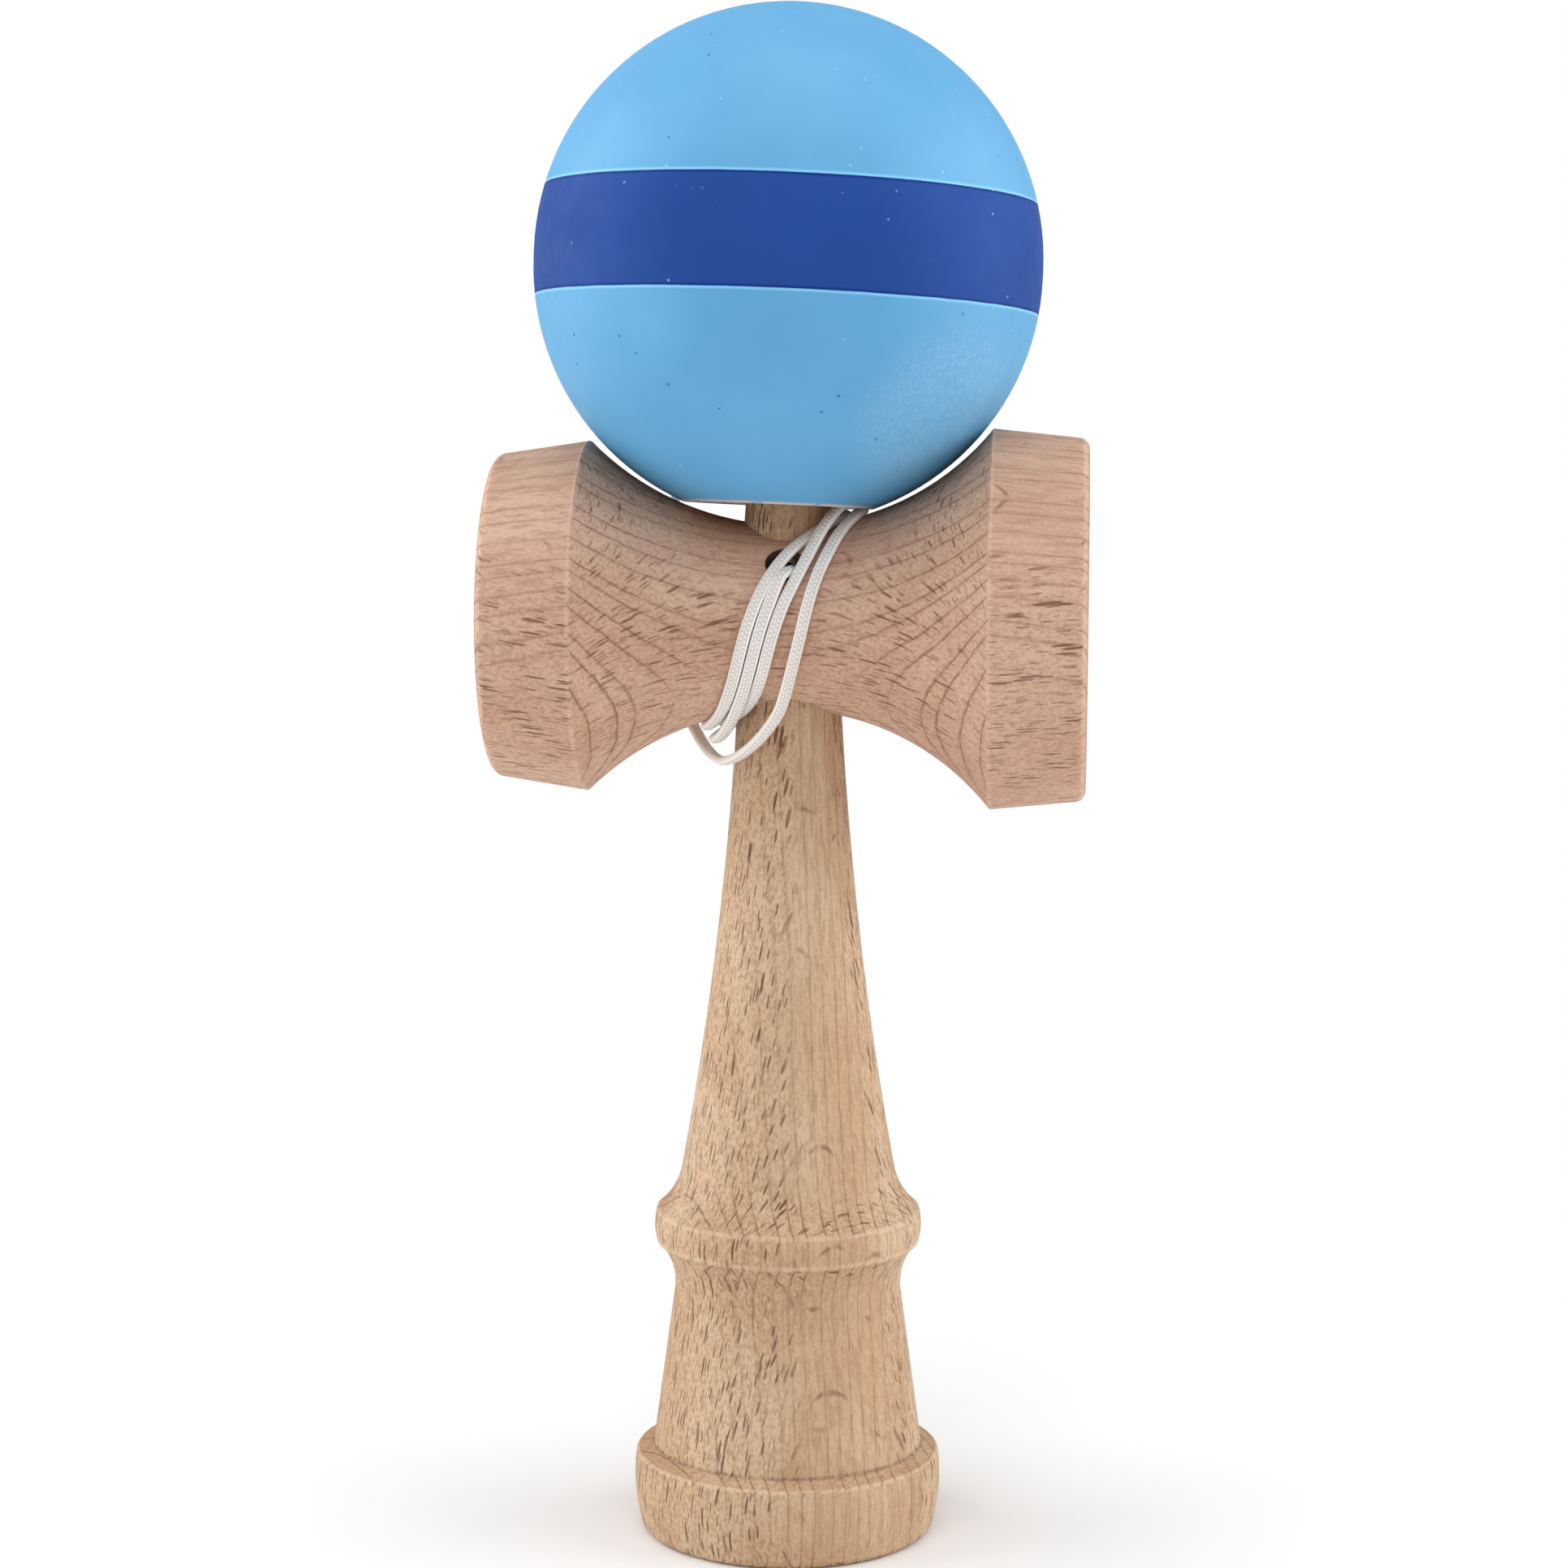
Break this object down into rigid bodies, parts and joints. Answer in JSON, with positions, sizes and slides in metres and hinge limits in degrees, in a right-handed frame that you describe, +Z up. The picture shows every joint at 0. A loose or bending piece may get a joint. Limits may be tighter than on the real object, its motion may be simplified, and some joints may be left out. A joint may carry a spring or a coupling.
{
  "type": "kendama",
  "caption": "Wooden ball-and-cup toy: a turned handle with a spike and base cup, a crosspiece with two cups, and a drilled painted ball tied on by a string wound round the crosspiece.",
  "frame": {"origin": "centre of the flat ring that the base cup stands on", "axes": "+Z up along the handle to the spike, +X along the crosspiece towards the big cup, -Y to the front, where the string leaves its port"},
  "size_m": [0.0703, 0.0609, 0.1841],
  "materials": {
    "handle_wood": "fine-sanded bare beech, grain along the handle",
    "crosspiece_wood": "fine-sanded bare beech, grain along the crosspiece",
    "ball_paint": "wood painted light blue with a darker blue stripe, satin",
    "bead_wood": "bare wood",
    "string": "braided white string"
  },
  "bodies": {
    "handle": {"ken": "handle_wood", "sarado": "crosspiece_wood", "string_ken_knot": "string", "string_lead": "string", "string_wraps": "string", "string_hang": "string"},
    "string_end": {"string_bead": "bead_wood", "string_rise": "string", "string_tail": "string", "string_tama_knot": "string"},
    "ball": {"tama": "ball_paint"}
  },
  "joints": [
    {"name": "tama_lift", "type": "slide", "parent": "handle", "child": "string_end", "axis": [0, 0, 1], "range_m": [0, 0.04], "deforming": ["string_rise"]},
    {"name": "tama_spin", "type": "hinge", "parent": "string_end", "child": "ball", "pos_m": [-0.00041, 0.00212, 0.15292], "axis": [0.0348, 0.075, 0.9966], "continuous": true}
  ]
}
